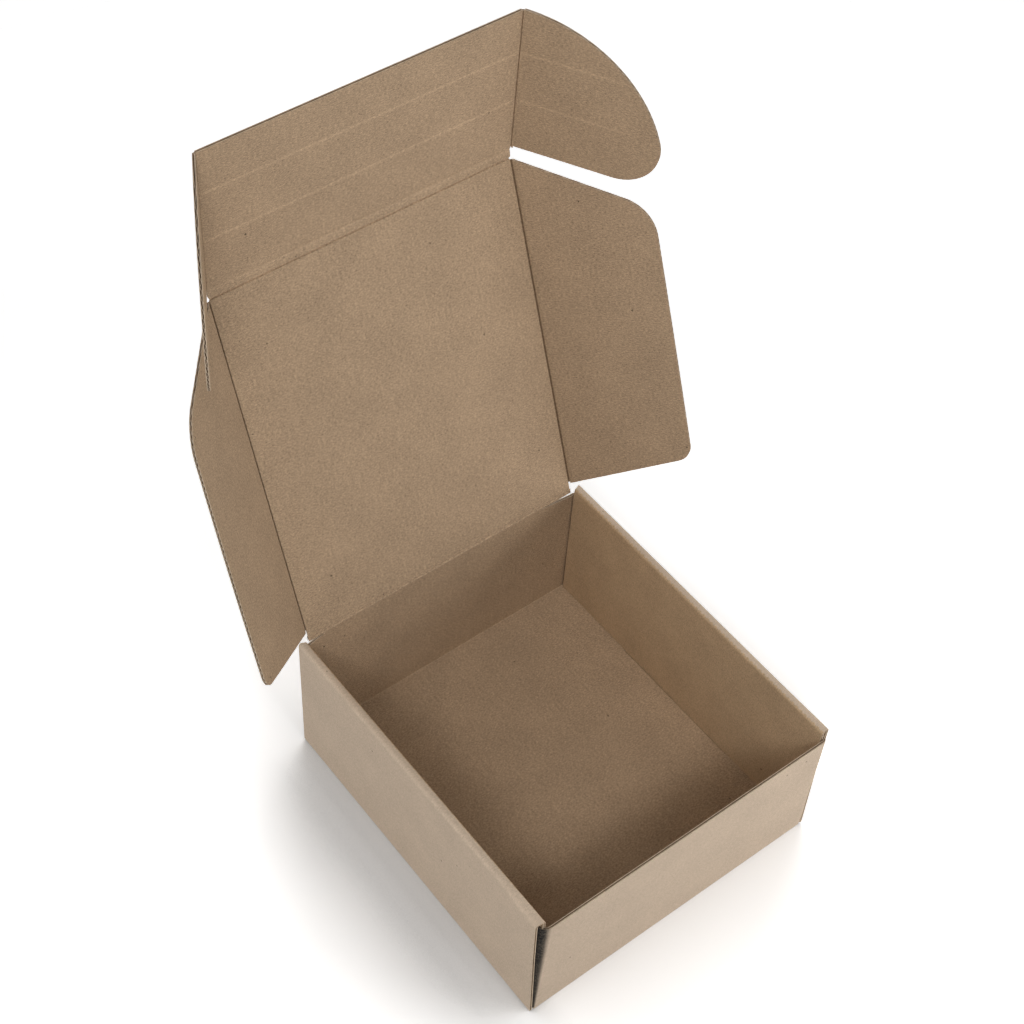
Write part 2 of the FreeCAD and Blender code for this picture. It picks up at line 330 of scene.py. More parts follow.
def paper_sheet(name, columns, rows, spot, height, thickness, finish, cut=None, back=None):
    """A grid of columns by rows faces. spot(column, row) gives for each point its place in the
    middle of the board, the way to the inner liner, its map, its phase in the wave, how crushed
    and how deeply scored it is. height gives the layer's own distance from the middle, and back
    the finish of the side away from the box's inside, where it isn't the same."""
    deselect()
    bpy.ops.mesh.primitive_grid_add(x_subdivisions=columns, y_subdivisions=rows, size=1)
    sheet = bpy.context.object
    sheet.name = name
    mesh = sheet.data
    grid = np.zeros(len(mesh.vertices) * 3)
    mesh.vertices.foreach_get("co", grid)
    grid = grid.reshape(-1, 3)
    column = np.rint((grid[:, 0] + 0.5) * columns).astype(int)
    row = np.rint((grid[:, 1] + 0.5) * rows).astype(int)
    middle, inward, flat, phase, crush, score = spot(column, row)
    place = middle + inward * height(phase, crush, score)[:, None]
    mesh.vertices.foreach_set("co", place.astype(np.float32).ravel())
    corner = np.zeros(len(mesh.loops), np.int32)
    mesh.loops.foreach_get("vertex_index", corner)
    mesh.uv_layers.active.data.foreach_set("uv", flat[corner].astype(np.float32).ravel())
    wear_and_painted_shade = mesh.attributes.new("wear_and_painted_shade", "FLOAT", "POINT")
    scored = 0 if finish == "kraft_outside" else 1
    mark = np.maximum(0.5 * crush, scored * np.clip(score / SCORE_DEPTH, 0, 1))
    wear_and_painted_shade.data.foreach_set("value", mark.astype(np.float32))
    mesh.update()
    if cut:
        cut_faces(sheet, cut)
    mesh.materials.append(finishes[finish])
    mesh.materials.append(finishes["cut_edge"])
    skin = sheet.modifiers.new("paper", "SOLIDIFY")
    skin.thickness = thickness
    skin.offset = 0
    skin.material_offset_rim = 1
    if back:
        mesh.materials.append(finishes[back])
        skin.material_offset = 2
    bpy.ops.object.modifier_apply(modifier=skin.name)
    return sheet


def cut_faces(sheet, inside):
    """Deletes the faces whose middle is inside, as a die cuts a slot."""
    deselect()
    sheet.select_set(True)
    bpy.context.view_layer.objects.active = sheet
    bpy.ops.object.mode_set(mode="EDIT")
    bpy.ops.mesh.select_mode(type="FACE")
    bpy.ops.mesh.select_all(action="DESELECT")
    bpy.ops.object.mode_set(mode="OBJECT")
    for face in sheet.data.polygons:
        face.select = inside(face.center)
    bpy.ops.object.mode_set(mode="EDIT")
    bpy.ops.mesh.delete(type="FACE")
    bpy.ops.object.mode_set(mode="OBJECT")


# %% [markdown]
# ## A board from three layers
#
# The inner liner dips into each crease and each score line, the waved paper gets flatter there, and
# the outer liner stays almost where it was, because the rule strikes from inside.

# %% Join three layers into a board
WASHBOARD = 0.03 * MM
OUTER_SINK = 0.03 * MM
WAVE_CRUSH, WAVE_SINK = 0.55, 0.16 * MM


def inner_height(phase, crush, score):
    return HALF - LINER / 2 + WASHBOARD * np.cos(phase) - CREASE_DIP * crush - score


def outer_height(phase, crush, score):
    return LINER / 2 - HALF + WASHBOARD * np.cos(phase) + OUTER_SINK * crush


def wave_height(phase, crush, score):
    swing = (HALF - LINER - WAVE_PAPER / 2) * (1 - WAVE_CRUSH * crush)
    return swing * np.sin(phase) - WAVE_SINK * crush - 0.5 * score


SMOOTH_BELOW = math.radians(40)
LAYERS = (
    ("", inner_height, LINER, "kraft_inside"),
    ("_wave", wave_height, WAVE_PAPER, "waved_paper_painted_shade"),
    ("_outer", outer_height, LINER, "kraft_outside"),
)


def board_piece(name, columns, rows, spot, body, node, place=None, cut=None):
    parts = [
        paper_sheet(name + label, columns, rows, spot, height, thickness, finish, cut)
        for label, height, thickness, finish in LAYERS
    ]
    piece = joined(parts)
    if place is not None:
        piece.matrix_world = place
        bpy.ops.object.transform_apply(location=True, rotation=True, scale=True)
    bpy.ops.object.shade_smooth_by_angle(angle=SMOOTH_BELOW)
    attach(piece, body)
    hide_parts(node)
    print(name, len(piece.data.polygons), "faces")
    return piece


print("a board's layers:", ", ".join(layer[3] for layer in LAYERS))

# %% [markdown]
# ## Flat panels
#
# Every flap is flat, with an outline of its own. Its rows lie along the flutes, six to a wave, so
# an outline is just the two x values that a row has at its height on the panel. The columns crowd
# together beside a crease, where the paper bends.

# %% Helpers for flat panels
NEAR_CREASE = [0, 0.4 * MM, 0.9 * MM, 1.5 * MM, 2.2 * MM]
NARROW, NARROWEST = 4 * MM, 0.1 * MM
CLOSEST_ROWS = 0.05 * MM


def wave_rows(y0, y1, extra=(), per_wave=ROWS_PER_WAVE):
    """Stations from y0 to y1 that keep the wave's own rhythm on every panel."""
    step = PITCH / per_wave
    inner = [k * step for k in range(math.ceil(y0 / step), math.floor(y1 / step) + 1)]
    kept = []
    for row in sorted({y0, y1} | set(inner) | set(extra)):
        if y0 <= row <= y1 and (not kept or row - kept[-1] > CLOSEST_ROWS):
            kept.append(row)
    kept[-1] = y1
    return kept


def columns_between(x0, x1, second_crease=True, middle=5):
    """x values from a crease at x0 up to x1, crowded at the creases."""
    start = [x0 + d for d in NEAR_CREASE]
    end = [x1 - d for d in reversed(NEAR_CREASE)] if second_crease else [x1]
    share = [(k + 1) / (middle + 1) for k in range(middle)]
    return start + [start[-1] + (end[0] - start[-1]) * s for s in share] + end


def columns_to(start, end, middle):
    """x values from a crease out to a cut edge, evenly spaced where the flap is very narrow."""
    if end - start > NARROW:
        return columns_between(start, end, False, middle)
    count = len(NEAR_CREASE) + middle
    return [start + max(end - start, NARROWEST) * k / count for k in range(count + 1)]


def flat_panel(name, stations, across, crease, body, node, place, rise=None, groove=None):
    """A flat board. across(y) gives a row's x values, crease(x, y) the distance to a crease,
    rise(x, y) a bow or bend, and groove(x, y) the depth of a score line."""
    table = np.array([across(y) for y in stations])
    heights = np.array(stations)

    def spot(column, row):
        x, y = table[row, column], heights[row]
        lift = rise(x, y) if rise else np.zeros(len(x))
        middle = np.stack([x, y, lift + np.zeros(len(x))], 1)
        inward = np.tile([0.0, 0.0, 1.0], (len(x), 1))
        score = groove(x, y) if groove else np.zeros(len(x))
        flat, phase = np.stack([x, y], 1), 2 * math.pi * y / PITCH
        return middle, inward, flat, phase, crushed(crease(x, y)), score

    board_piece(name, table.shape[1] - 1, len(stations) - 1, spot, body, node, place)


# %% [markdown]
# ## The lid panel
#
# The lid is the one panel with a crease on all four sides: the back wall's, two side flaps' and
# the tuck flap's. It bows up a little in the middle, as a large panel of real board does.


# %% The lid panel
def lid_crease(x, y):
    return np.minimum(LID_HALF_WIDTH - np.abs(x), np.minimum(y, LID_LENGTH - y))


def lid_bow(x, y):
    along = np.sin(math.pi * np.clip(y / LID_LENGTH, 0, 1))
    return LID_BOW * (1 - (x / LID_HALF_WIDTH) ** 2) * along


LID_BOW = 0.5 * MM
FLAP_GAP = 0.42 * MM
LID_EDGE = LID_HALF_WIDTH - FLAP_GAP
lid_rows = wave_rows(CREASE_EDGE, LID_LENGTH - CREASE_EDGE)
lid_columns = columns_between(-LID_EDGE, LID_EDGE)
flat_panel("lid_board", lid_rows, lambda y: lid_columns, lid_crease, "lid", "lid_panel",
           lid_place, rise=lid_bow)

# %% [markdown]
# ## The side flaps
#
# Each side flap is a wing with two round corners. Its outline is worked out once, as the reach
# that the cut edge has at each height along the crease, so the cut edge of every layer is exact.

# %% The outline of a side flap
FLAP_REACH_BACK = 80.6 * MM
FLAP_REACH_FRONT = 77.6 * MM
FLAP_ROOT_BACK = 5.4 * MM
FLAP_TIP_BACK = 30.6 * MM
FLAP_TIP_FRONT = 187.4 * MM
FLAP_ROOT_FRONT = 215.4 * MM
FLAP_BACK_RADIUS = 11.0 * MM
FLAP_FRONT_RADIUS = 24.0 * MM


def corner_centre(before, corner, after, radius):
    """Centre of the arc of that radius that touches both edges at the corner."""
    a = (before - corner).normalized()
    b = (after - corner).normalized()
    return corner + (a + b).normalized() * radius / math.sin(a.angle(b) / 2)


back_root, back_tip = Vector((0, FLAP_ROOT_BACK)), Vector((FLAP_REACH_BACK, FLAP_TIP_BACK))
front_tip, front_root = Vector((FLAP_REACH_FRONT, FLAP_TIP_FRONT)), Vector((0, FLAP_ROOT_FRONT))
back_arc = corner_centre(back_root, back_tip, front_tip, FLAP_BACK_RADIUS)
front_arc = corner_centre(back_tip, front_tip, front_root, FLAP_FRONT_RADIUS)


def flap_edge(y):
    """How far the flap reaches from its crease at a height y along it."""
    along = (y - FLAP_TIP_BACK) / (FLAP_TIP_FRONT - FLAP_TIP_BACK)
    reach = FLAP_REACH_BACK + (FLAP_REACH_FRONT - FLAP_REACH_BACK) * along
    for root, tip, arc, radius, way in (
        (back_root, back_tip, back_arc, FLAP_BACK_RADIUS, 1),
        (front_root, front_tip, front_arc, FLAP_FRONT_RADIUS, -1),
    ):
        slope = (tip.y - root.y) / tip.x
        reach = min(reach, max((y - root.y) / slope, 0))
        touch = arc.y - way * radius * math.cos(math.atan(abs(slope)))
        beyond = (y - arc.y) * way
        if (y - touch) * way > 0 > beyond:
            reach = min(reach, arc.x + math.sqrt(max(radius**2 - beyond**2, 0)))
    return reach


print("flap reach:", [round(flap_edge(y * MM) / MM, 1) for y in (6, 15, 25, 40, 120, 180, 200, 214)])

# %% Make both side flaps
FLAP_CURL = 0.9 * MM
FLAP_MARGIN = 0.1 * MM


def from_crease(x, y):
    return np.abs(x)


def side_flap(side):
    def across(y):
        return [SIDE[side] * x for x in columns_to(FLAP_GAP, flap_edge(y), 6)]

    def rise(x, y):
        along = (y - FLAP_ROOT_BACK) / (FLAP_ROOT_FRONT - FLAP_ROOT_BACK)
        curl = FLAP_CURL * np.sin(math.pi * np.clip(along, 0, 1))
        return -HALF - curl * (np.abs(x) / FLAP_REACH_BACK) ** 2

    rows = wave_rows(FLAP_ROOT_BACK + FLAP_MARGIN, FLAP_ROOT_FRONT - FLAP_MARGIN)
    name = "side_flap_" + side
    flat_panel(name + "_board", rows, across, from_crease, name, name, flap_place(side), rise=rise)


for side in SIDE:
    side_flap(side)

# %% [markdown]
# ## The tuck flap
#
# Two creases, 5.4 mm apart, join the lid and the tuck flap, because the flap has to go round the
# rolled walls' thickness. The narrow band between them stands at half the flap's angle. Two faint
# score lines cross the flap: the folding machine's rollers leave them, and they run on over the
# ears. Each is a shallow groove in the inner liner.

# %% The tuck flap and its band
SCORES = [33.3 * MM, 63.4 * MM]
SCORE_WIDTH = 0.7 * MM
BAND_BEND = 0.9 * MM


def score_groove(x, y):
    mark = np.zeros(len(x))
    for line in SCORES:
        mark = mark + SCORE_DEPTH * np.exp(-(((y - BAND_RUN - line) / SCORE_WIDTH) ** 2))
    return mark


def tuck_crease(x, y):
    return np.minimum(TUCK_HALF_WIDTH - np.abs(x), np.minimum(y, np.abs(y - BAND_RUN)))


def band_bend(x, y):
    """The band slopes down to the flap's level, with a small round bend at the second crease."""
    slope = BAND_RISE / BAND_RUN
    start, end = BAND_RUN - BAND_BEND, BAND_RUN + BAND_BEND
    near = np.clip((y - start) / (end - start), 0, 1)
    curved = slope * start + slope * (end - start) * (near - near**2 / 2)
    return np.where(y < start, slope * y, np.where(y > end, BAND_RISE, curved))


tuck_rows = wave_rows(CREASE_EDGE, BAND_RUN + TUCK_LENGTH)
TUCK_EDGE = TUCK_HALF_WIDTH - CREASE_EDGE
tuck_columns = columns_between(-TUCK_EDGE, TUCK_EDGE)
flat_panel("tuck_board", tuck_rows, lambda y: tuck_columns, tuck_crease, "tuck", "tuck_flap",
           tuck_place, rise=band_bend, groove=score_groove)

# %% [markdown]
# ## The ears
#
# An ear is a quarter round that slides down inside the side wall when the box is shut. Its outline
# is two arcs that run into each other: a small one at the near corner and a large one up to the
# crease.

# %% The outline of an ear
EAR_NEAR = 2.4 * MM
EAR_CORNER = 23.4 * MM
EAR_ARC = 81.8 * MM
EAR_ARC_CENTRE = 7.4 * MM
EAR_STRETCH = 1.035
corner_y = EAR_NEAR + EAR_CORNER
corner_x = math.sqrt((EAR_ARC - EAR_CORNER) ** 2 - (corner_y - EAR_ARC_CENTRE) ** 2)
arcs_meet = EAR_ARC_CENTRE + (corner_y - EAR_ARC_CENTRE) * EAR_ARC / (EAR_ARC - EAR_CORNER)
EAR_TOP = EAR_ARC_CENTRE + EAR_ARC


def ear_edge(y):
    if y < arcs_meet:
        return EAR_STRETCH * (corner_x + math.sqrt(max(EAR_CORNER**2 - (y - corner_y) ** 2, 0)))
    return EAR_STRETCH * math.sqrt(max(EAR_ARC**2 - (y - EAR_ARC_CENTRE) ** 2, 0))


print("ear reach:", [round(ear_edge(y * MM) / MM, 1) for y in (1.3, 5, 20, 45, 70, 85)])


# %% Make both ears
EAR_CURL = 0.8 * MM
SCORES_FADE_FROM, SCORES_FADE_OVER = 45 * MM, 25 * MM


def ear(side):
    def across(y):
        return [SIDE[side] * x for x in columns_to(CREASE_EDGE, ear_edge(y), 6)]

    def groove(x, y):
        fade = 1 - smooth_step((np.abs(x) - SCORES_FADE_FROM) / SCORES_FADE_OVER)
        return score_groove(x, y + BAND_RUN) * fade

    def rise(x, y):
        return EAR_CURL * (np.abs(x) / EAR_ARC) ** 2

    near = [EAR_NEAR + d * MM for d in (0.08, 0.2, 0.4)]
    far = [EAR_TOP - d * MM for d in (2.4, 1.6, 1.0, 0.5, 0.2)]
    rows = wave_rows(EAR_NEAR, EAR_TOP - 0.05 * MM, extra=near + far)
    name = "ear_" + side
    flat_panel(name + "_board", rows, across, from_crease, name, name, ear_place(side),
               rise=rise, groove=groove)


for side in SIDE:
    ear(side)

# %% [markdown]
# ## Skins over the creases
#
# A crease is where the board is crushed and only its liners go round the bend. The panels stop a
# little short of it, and narrow strips of liner bridge the gap: one outside, and one inside that
# buckles into a groove, the thin dark line of every crease. They are made flat and rolled round the
# crease in a smooth bend, at the fold that the box has at rest. The outer strips carry the waved
# paper's dark colour on the side of the flutes, as painted shade, so that no light edge shows
# through the gap.

# %% Make a crease's skin
SKIN_REACH = 1.5 * MM
SKIN_TURN = 0.9 * MM
SKIN_PROUD = 0.03 * MM
SKIN_THICKNESS = 0.7 * LINER
SKIN_WEAR = 0.6
SKIN_STEPS, SKIN_STEP_LENGTH = 8, 4 * MM
SKIN_SMOOTH_BELOW = math.radians(50)
GROOVE_REACH = 0.8 * MM
GROOVE_DEPTH = 0.8 * MM


def crease_skin(name, place, turn, level, length, finish, dip=0.0, back=None):
    """A strip along x of the frame place, whose y points over the crease to the next panel.
    turn is the fold at rest towards z, level its height above the axis, length its two ends."""
    across = [k / SKIN_STEPS * SKIN_REACH for k in range(-SKIN_STEPS, SKIN_STEPS + 1)]
    steps = max(int((length[1] - length[0]) / SKIN_STEP_LENGTH), 2)
    lengths = [length[0] + (length[1] - length[0]) * k / steps for k in range(steps + 1)]
    q_table, x_table = np.array(across), np.array(lengths)

    def spot(column, row):
        x, q = x_table[column], q_table[row]
        bend = turn * smooth_step((q + SKIN_TURN) / (2 * SKIN_TURN))
        z = level - dip * crushed(q, GROOVE_REACH)
        y_new = q * np.cos(bend) - z * np.sin(bend)
        z_new = q * np.sin(bend) + z * np.cos(bend)
        middle = np.stack([x, y_new, z_new], 1)
        inward = np.zeros((len(x), 3))
        zero = np.zeros(len(x))
        return middle, inward, np.stack([x, q], 1), zero, crushed(q, SKIN_REACH) * SKIN_WEAR, zero

    strip = paper_sheet(name, len(lengths) - 1, len(across) - 1, spot,
                        lambda phase, crush, score: np.zeros(len(phase)),
                        SKIN_THICKNESS, finish, back=back)
    strip.matrix_world = place
    bpy.ops.object.transform_apply(location=True, rotation=True, scale=True)
    bpy.ops.object.shade_smooth_by_angle(angle=SKIN_SMOOTH_BELOW)
    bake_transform(strip)


# %% Skins of the lid's, the tuck flap's and the ears' creases
OUTER_LEVEL = LINER / 2 - HALF - SKIN_PROUD
INNER_LEVEL = HALF - LINER / 2 + SKIN_PROUD
TUCK_SKIN_END = LID_HALF_WIDTH - 0.8 * MM
EAR_SKIN_START = BAND_RUN + 1.2 * MM
EAR_SKIN_END = BAND_RUN + TUCK_LENGTH - 0.8 * MM
FLAP_SKIN_START = FLAP_ROOT_BACK + 0.3 * MM
FLAP_SKIN_END = FLAP_ROOT_FRONT - 0.3 * MM


def two_skins(name, place, turn, length):
    # The outer skin's side towards the flutes takes the waved paper's dark colour: painted shade in
    # the gap.
    crease_skin(name + "_outer", place, turn, OUTER_LEVEL, length,
                "waved_paper_painted_shade", back="kraft_outside")
    crease_skin(name + "_inner", place, turn, INNER_LEVEL, length,
                "kraft_inside", GROOVE_DEPTH)


def side_ends(way, start, end):
    """A crease's two ends, in a frame whose x runs back along it on the right side."""
    return (-end, -start) if way > 0 else (start, end)


hinge_turn = math.pi / 2 - LID_ANGLE
hinge_frame = Matrix.Translation(HINGE) @ turned(math.pi / 2, "X")
two_skins("hinge_crease", hinge_frame, hinge_turn, (-LID_HALF_WIDTH, LID_HALF_WIDTH))
tuck_frame = lid_place @ Matrix.Translation((0, LID_LENGTH, 0))
two_skins("tuck_crease", tuck_frame, TUCK_ANGLE / 2, (-TUCK_SKIN_END, TUCK_SKIN_END))

for side, way in SIDE.items():
    sideways = turned(-way * math.pi / 2, "Z")
    ends = side_ends(way, EAR_SKIN_START, EAR_SKIN_END)
    ear_frame = tuck_place @ Matrix.Translation((way * TUCK_HALF_WIDTH, 0, BAND_RISE)) @ sideways
    two_skins("ear_crease_" + side, ear_frame, EAR_ANGLE, ends)
    ends = side_ends(way, FLAP_SKIN_START, FLAP_SKIN_END)
    flap_frame = lid_place @ Matrix.Translation((way * LID_HALF_WIDTH, 0, HALF)) @ sideways
    # This skin's side towards the flutes takes the waved paper's dark colour too: painted shade in the
    # gap.
    crease_skin("flap_crease_" + side, flap_frame, FLAP_ANGLE[side], OUTER_LEVEL - HALF, ends,
                "waved_paper_painted_shade", back="kraft_outside")
print("crease skins made")

# %% [markdown]
# ## Folding the tray
#
# The tray is the same board, bent. Each part of it is drawn as a line through the middle of the
# board in its own cross-section, with a small round bend at every crease, and the three layers are
# laid beside that line. It could be one extruded outline, but then its cut edges would be solid,
# and the photograph shows two thin papers with a dark gap between them.


# %% Sample a folded line
NEAR_BEND = [0, 0.7 * MM, 1.5 * MM, 2.5 * MM]
CLOSEST_MARKS = 0.2 * MM
BEND_STEPS = 6
BEND_CRUSH, BEND_REACH = 0.7, 2.8 * MM


def fold_line(points, bends, step=30 * MM):
    """Samples of a line with round bends at its corners: place, way to its left, length so far,
    and 1 at a crease falling to 0 away from it. The inside of the box is on its left."""
    points = [np.array(p, float) for p in points]
    ways = [(b - a) / np.linalg.norm(b - a) for a, b in zip(points, points[1:])]
    turns = [math.atan2(a[0] * b[1] - a[1] * b[0], a @ b) for a, b in zip(ways, ways[1:])]
    cuts = [0.0] + [bend * math.tan(abs(t) / 2) for bend, t in zip(bends, turns)] + [0.0]
    place, left, length, creases, total = [], [], [], [], 0.0
    for i, way in enumerate(ways):
        run = np.linalg.norm(points[i + 1] - points[i]) - cuts[i] - cuts[i + 1]
        start = points[i] + way * cuts[i]
        side = np.array([-way[1], way[0]])
        marks = {0.0, run} | {k * step for k in range(1, int(run / step) + 1)}
        marks |= {d for d in NEAR_BEND if i > 0 and d < run}
        marks |= {run - d for d in NEAR_BEND if i < len(turns) and d < run}
        kept = []
        for mark in sorted(marks):
            if not kept or mark - kept[-1] > CLOSEST_MARKS:
                kept.append(mark)
        kept[-1] = run
        for mark in kept:
            place.append(start + way * mark)
            left.append(side)
            length.append(total + mark)
        total += run
        if i < len(turns):
            sign = 1 if turns[i] > 0 else -1
            centre = start + way * run + side * bends[i] * sign
            creases.append(total + bends[i] * abs(turns[i]) / 2)
            for k in range(1, BEND_STEPS):
                angle = turns[i] * k / BEND_STEPS
                spun = np.array([side[0] * math.cos(angle) - side[1] * math.sin(angle),
                                 side[0] * math.sin(angle) + side[1] * math.cos(angle)])
                place.append(centre - spun * bends[i] * sign)
                left.append(spun)
                length.append(total + bends[i] * abs(angle))
            total += bends[i] * abs(turns[i])
    length = np.array(length)
    away = np.min([np.abs(length - crease) for crease in creases], axis=0)
    return np.array(place), np.array(left), length, BEND_CRUSH * crushed(away, BEND_REACH)


# %% [markdown]
# ## The base
#
# The base is a flat panel whose front and back edges turn up into the end walls. Its flutes run
# across the box. Two long slots take the tongues of the rolled side walls, and are cut out of each
# layer, as the die does.

# %% The base with its two slots
BASE_BEND = 1.2 * MM
CORNER_BEND = 4.6 * MM
TIGHT_BEND = 1.8 * MM
TAB_X = 100.0 * MM
INNER_PANEL_X = 98.3 * MM
SLOT_HALF_LENGTH = 46.4 * MM
SLOT_HALF_WIDTH = HALF + 0.4 * MM
END_WALL_HALF_WIDTH = TAB_X - 0.2 * MM
MIDDLE_Y = OUTER_DEPTH / 2 - HALF
WALL_FOOT = 3.0 * MM
BASE_FLAT_Y = MIDDLE_Y - 2.4 * MM

base_line = [(-MIDDLE_Y, WALL_FOOT), (-MIDDLE_Y, HALF), (MIDDLE_Y, HALF), (MIDDLE_Y, WALL_FOOT)]
base_place, base_left, base_length, base_crush = fold_line(
    base_line, [BASE_BEND, BASE_BEND], PITCH / TRAY_ROWS_PER_WAVE)
slot_rows = [int(np.argmin(np.abs(base_place[:, 0] - way * SLOT_HALF_LENGTH))) for way in (-1, 1)]
for row, way in zip(slot_rows, (-1, 1)):
    base_place[row, 0] = way * SLOT_HALF_LENGTH
SLOT_EDGES = [INNER_PANEL_X - SLOT_HALF_WIDTH, INNER_PANEL_X + SLOT_HALF_WIDTH]
base_columns = [0, 50 * MM, 90 * MM, 94.5 * MM, *SLOT_EDGES]
base_columns = np.array([-x for x in base_columns[:0:-1]] + base_columns)


def base_spot(column, row):
    x = base_columns[column]
    flat = np.abs(base_place[row, 0]) < BASE_FLAT_Y
    x = np.where(flat, x, np.clip(x, -END_WALL_HALF_WIDTH, END_WALL_HALF_WIDTH))
    middle = np.stack([x, base_place[row, 0], base_place[row, 1]], 1)
    inward = np.stack([np.zeros(len(x)), base_left[row, 0], base_left[row, 1]], 1)
    phase = 2 * math.pi * base_length[row] / PITCH
    return middle, inward, np.stack([x, base_length[row]], 1), phase, base_crush[row], np.zeros(len(x))


def in_slot(centre):
    return abs(centre.y) < SLOT_HALF_LENGTH and abs(centre.x) > SLOT_EDGES[0] and centre.z < BOARD


board_piece("base_board", len(base_columns) - 1, len(base_place) - 1, base_spot,
            "tray", "tray", cut=in_slot)

# %% [markdown]
# ## The end walls and their corner tabs
#
# Front and back walls each carry two tabs, which turn the corner and stand between the layers of
# the rolled side walls. Wall and tabs are one strip, drawn from above as a line with two soft bends.
# The bends are tight at the base, which holds them, and open out towards the top. The back wall
# rises to the lid's crease between the corners.

# %% The front and back walls
TAB_LENGTH = 58.0 * MM
TAB_SLOPE = 9.0 * MM
BEND_AT_FOOT, BEND_GROWTH = 0.2, 0.95
OPEN_SHADE = 3.2
OPEN_SHARE = 0.65


def end_wall(name, end, top):
    """end is -1 for the front and 1 for the back. top(x, y) gives the height at a point."""
    tip = end * (MIDDLE_Y - TAB_LENGTH)
    line = [(-TAB_X, tip), (-TAB_X, end * MIDDLE_Y), (TAB_X, end * MIDDLE_Y), (TAB_X, tip)]
    if end > 0:
        line = line[::-1]
    bends = [CORNER_BEND, TIGHT_BEND] if end < 0 else [TIGHT_BEND, TIGHT_BEND]
    place, left, length, crush = fold_line(line, bends)
    tops = np.array([top(x, y) for x, y in place])
    corner = np.array([(math.copysign(TAB_X, x), end * MIDDLE_Y) for x, y in place])
    reach = np.where(corner[:, 0] * end > 0, bends[0], bends[1])
    bent = np.max(np.abs(place - corner), axis=1) < reach + 0.01 * MM
    levels = wave_rows(WALL_FOOT, FRONT_HEIGHT, per_wave=TRAY_ROWS_PER_WAVE)
    share = (np.array(levels) - WALL_FOOT) / (FRONT_HEIGHT - WALL_FOOT)

    def spot(column, row):
        z = WALL_FOOT + share[row] * (tops[column] - WALL_FOOT)
        spread = np.where(bent[column], BEND_AT_FOOT + BEND_GROWTH * share[row], 1)[:, None]
        now = corner[column] + (place[column] - corner[column]) * spread
        middle = np.stack([now[:, 0], now[:, 1], z], 1)
        inward = np.stack([left[column, 0], left[column, 1], np.zeros(len(z))], 1)
        flat, phase = np.stack([length[column], z], 1), 2 * math.pi * z / PITCH
        return middle, inward, flat, phase, crush[column], np.zeros(len(z))

    return board_piece(name, len(place) - 1, len(levels) - 1, spot, "tray", "tray")


def tab_top(x, y):
    inside = (MIDDLE_Y - 2 * CORNER_BEND - abs(y)) / (TAB_LENGTH - 2 * CORNER_BEND)
    return FRONT_HEIGHT - TAB_SLOPE * min(max(inside, 0), 1)


front_wall = end_wall("front_wall_board", -1, tab_top)


def shade_open_corner(wall):
    """The left bend stands behind a loose panel edge, and shade is painted into its paper, darker
    the deeper it goes.
    """
    mesh = wall.data
    point = np.zeros(len(mesh.vertices) * 3)
    mesh.vertices.foreach_get("co", point)
    x, y, z = point.reshape(-1, 3).T
    radius = CORNER_BEND * (BEND_AT_FOOT + BEND_GROWTH * z / FRONT_HEIGHT) + HALF
    deep = smooth_step((-x - TAB_X - HALF + radius) / (OPEN_SHARE * radius))
    deep = deep * (y < -MIDDLE_Y + CORNER_BEND * 2) * (x < 0)
    wear_and_painted_shade = np.zeros(len(x))
    mesh.attributes["wear_and_painted_shade"].data.foreach_get("value", wear_and_painted_shade)
    # Painted shade: below zero, the attribute darkens the bend's paper evenly.
    wear_and_painted_shade = wear_and_painted_shade * (1 - deep) - OPEN_SHADE * deep
    mesh.attributes["wear_and_painted_shade"].data.foreach_set("value", wear_and_painted_shade.astype(np.float32))


shade_open_corner(front_wall)


def back_top(x, y):
    return HINGE.z - CREASE_EDGE if abs(x) < LID_HALF_WIDTH else tab_top(x, y)


end_wall("back_wall_board", 1, back_top)

# %% [markdown]
# ## The rolled side walls
#
# A side wall goes up, over a narrow top strip, and down again inside, where its tongue sits in the
# base's slot. That turns the outer liner inwards, so it is also the face seen inside. The flutes
# run up and down, so the waves are laid along the wall's length. At the back the inner panel is
# a millimetre shorter than the outer one, and the strip's end is cut at a slant between the two.
# Nothing holds the outer panel's front end, so it springs out a little at the top, most on the
# left. Its front edge slants forward towards its foot, where it meets the front wall.

# %% The two side walls
ROLL_BEND = 1.2 * MM
OUTER_PANEL_X = OUTER_WIDTH / 2 - HALF
TOP_LEVEL = SIDE_HEIGHT - HALF
PANEL_FOOT = 1.85 * MM
TONGUE_HALF_LENGTH = 46.0 * MM
TONGUE_FOOT = 0.3 * MM
OUTER_PANEL_START = 99.5 * MM
FRONT_EDGE, BACK_EDGE = -108.1 * MM, 109.4 * MM
INNER_HALF_LENGTH = 108.4 * MM
FOOT_REACH, FOOT_HEIGHT = 2.7 * MM, 78 * MM
WALL_BOW = 0.5 * MM
FLARE_FROM, FLARE_OVER = 70 * MM, 41 * MM
FLARE = {"left": 1.5 * MM, "right": 0.3 * MM}


def paint_shade_on_rolled_face(wall):
    """Hands the part of the outer liner that ends up inside the box to a browner copy of its finish,
    with the box's warm shade painted into its colour.
    """
    mesh = wall.data
    outside = mesh.materials.find("kraft_outside")
    mesh.materials.append(finishes["kraft_rolled_painted_shade"])
    used = np.zeros(len(mesh.polygons), np.int32)
    mesh.polygons.foreach_get("material_index", used)
    centre = np.zeros(len(mesh.polygons) * 3)
    mesh.polygons.foreach_get("center", centre)
    rolled = np.abs(centre[0::3]) < INNER_PANEL_X
    used[rolled & (used == outside)] = len(mesh.materials) - 1
    mesh.polygons.foreach_set("material_index", used)
    mesh.update()


